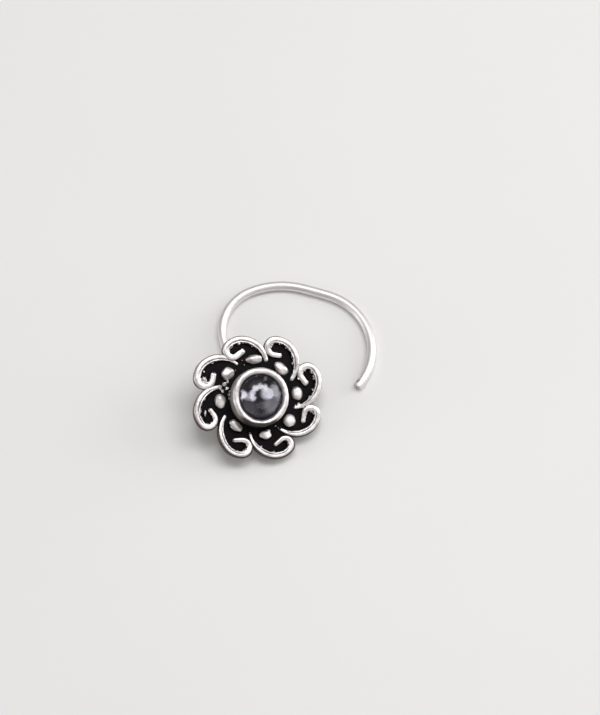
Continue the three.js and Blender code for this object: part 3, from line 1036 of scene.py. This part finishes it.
def stone_backing():
    """The dark cup under the stone with a painted reflection of the lamps in it, a milky cloud that also
    glows, seen through the stone.
    """
    finish = Finish("stone_backing", Metallic=0.0, Specular_IOR_Level=0.1, Emission_Strength=1.0)
    ragged = (finish.noise(0.18 * MM, detail=4, roughness=0.65) - 0.5) * (0.16 * MM)
    # Painted reflection: soft puffs in an arch and patches round it, summed
    reflection_puffs = list(PAINTED_REFLECTION_PATCHES)
    for bearing in REFLECTION_ARCH_BEARINGS:
        turn = math.radians(bearing)
        across = REFLECTION_ARCH_MIDDLE[0] + REFLECTION_ARCH_RADIUS * math.cos(turn)
        along = REFLECTION_ARCH_MIDDLE[1] + REFLECTION_ARCH_RADIUS * math.sin(turn)
        reflection_puffs.append({"across": across, "along": along, **REFLECTION_ARCH_PUFF})
    painted_reflection = 0.0
    for reflection_puff in reflection_puffs:
        away = finish.away(on_cup(reflection_puff["across"], reflection_puff["along"])) + ragged
        limits = (reflection_puff["radius"] * 0.5 * MM, reflection_puff["radius"] * 1.5 * MM)
        painted_reflection = finish.between(away, *limits, reflection_puff["tone"], 0) + painted_reflection
    away = finish.away(on_cup(*PAINTED_REFLECTION_MIDDLE)) + ragged
    rim = finish.between(away, PAINTED_REFLECTION_REACH - PAINTED_REFLECTION_EDGE, PAINTED_REFLECTION_REACH, 1, 0)
    painted_reflection = painted_reflection.math("MINIMUM", painted_reflection, 1.0) * rim
    grain = finish.noise(1.4 * MM, detail=3)
    finish.feed("Base Color", finish.blend(painted_reflection, finish.blend(grain, *CUP_TONES), PAINTED_REFLECTION_TONE))
    # Painted glow: the painted reflection also gives off light
    finish.feed("Emission Color", finish.blend(painted_reflection, (0, 0, 0, 1), PAINTED_GLOW_TONE))
    finish.feed("Roughness", finish.between(grain, 0.3, 0.7, 0.45, 0.6))
    return finish.material


def floor():
    """The plain pale surface that the stud lies on."""
    finish = Finish("floor_paint", Roughness=0.6)
    tone = finish.noise(30 * MM, detail=2)
    finish.feed("Base Color", finish.blend(tone, *FLOOR_TONES))
    half = FLOOR_SIZE / 2
    corners = [(-half, -half, 0), (half, -half, 0), (half, half, 0), (-half, half, 0)]
    obj = mesh_object("floor", corners, [(0, 1, 2, 3)])
    obj.data.materials.append(finish.material)


def softbox(name, towards, distance, size, power):
    """An area light that looks at the stud from a direction."""
    light = bpy.data.lights.new(name, "AREA")
    light.shape = "ELLIPSE"
    light.size, light.size_y = size
    light.energy = power
    obj = bpy.data.objects.new(name, light)
    out = Vector(towards).normalized()
    obj.location = BACK + out * distance
    obj.rotation_euler = out.to_track_quat("Z", "Y").to_euler()
    bpy.context.scene.collection.objects.link(obj)


def lights():
    world = bpy.data.worlds.new("studio")
    bpy.context.scene.world = world
    world.use_nodes = True
    world.node_tree.nodes["Background"].inputs["Color"].default_value = WORLD_TONE
    for name, box in SOFTBOXES.items():
        softbox(name, *box)


def camera():
    lens = bpy.data.cameras.new("camera")
    lens.lens = CAMERA_LENS
    lens.clip_start = CAMERA_NEAR
    obj = bpy.data.objects.new("camera", lens)
    out = Vector((0, -math.cos(CAMERA_ELEVATION), math.sin(CAMERA_ELEVATION)))
    obj.location = CAMERA_TARGET + out * CAMERA_DISTANCE
    obj.rotation_euler = (math.pi / 2 - CAMERA_ELEVATION, 0, 0)
    bpy.context.scene.collection.objects.link(obj)
    bpy.context.scene.camera = obj


camera()
floor()
lights()
PETAL_EDGES = petal_edges()
dotted = granule_silver()
stone = cabochon(clear_stone(), stone_backing())
silver_pieces = [
    back_plate(blackened_plate()),
    scrolls(scroll_silver()),
    granules(dotted),
    bezel(bezel_silver()),
    solder(dotted),
    nose_wire(drawn_silver()),
]
for piece in silver_pieces:
    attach(piece, "root")
    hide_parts("silver_stud")
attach(stone, "root")
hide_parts("cabochon")

bpy.context.scene.view_settings.view_transform = "Standard"
